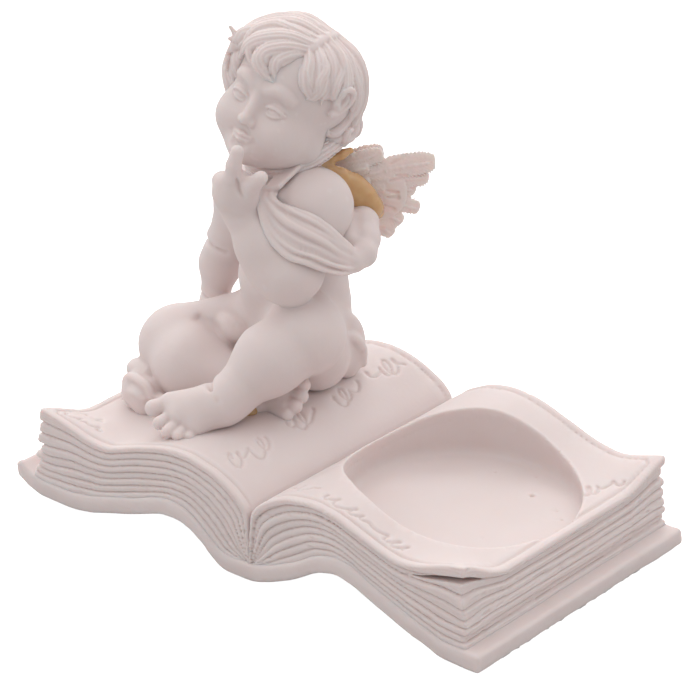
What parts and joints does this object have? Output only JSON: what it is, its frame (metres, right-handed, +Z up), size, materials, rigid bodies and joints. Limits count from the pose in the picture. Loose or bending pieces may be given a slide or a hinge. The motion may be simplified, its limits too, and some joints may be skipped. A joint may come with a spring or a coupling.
{
  "type": "angel figurine",
  "caption": "Winged child seated on an open book, one hand at the chin, with a round candle recess sunk in the right-hand page.",
  "frame": {"origin": "middle of the footprint, on the table, at the underside of the centre felt strip", "axes": "+X from the left page to the right page, -Y towards the front edge of the book, +Z up"},
  "size_m": [0.13, 0.074, 0.1078],
  "materials": {
    "white_resin": "matte cast resin with a soft bisque sheen",
    "amber_glue": "glossy translucent amber adhesive",
    "brass_pin": "drawn wire",
    "felt": "short pressed felt"
  },
  "bodies": {
    "root": {"book_base": "white_resin", "cherub_body": "white_resin", "cherub_head": "white_resin", "left_arm": "white_resin", "scarf": "white_resin", "left_wing": "white_resin", "right_wing": "white_resin", "left_wing_glue": "amber_glue", "right_wing_glue": "amber_glue", "ankle_glue": "amber_glue", "seat_dowels": "brass_pin", "neck_pin": "brass_pin", "left_arm_pin": "brass_pin", "left_wing_pin": "brass_pin", "right_wing_pin": "brass_pin", "felt_left": "felt", "felt_centre": "felt", "felt_right": "felt"}
  },
  "joints": []
}
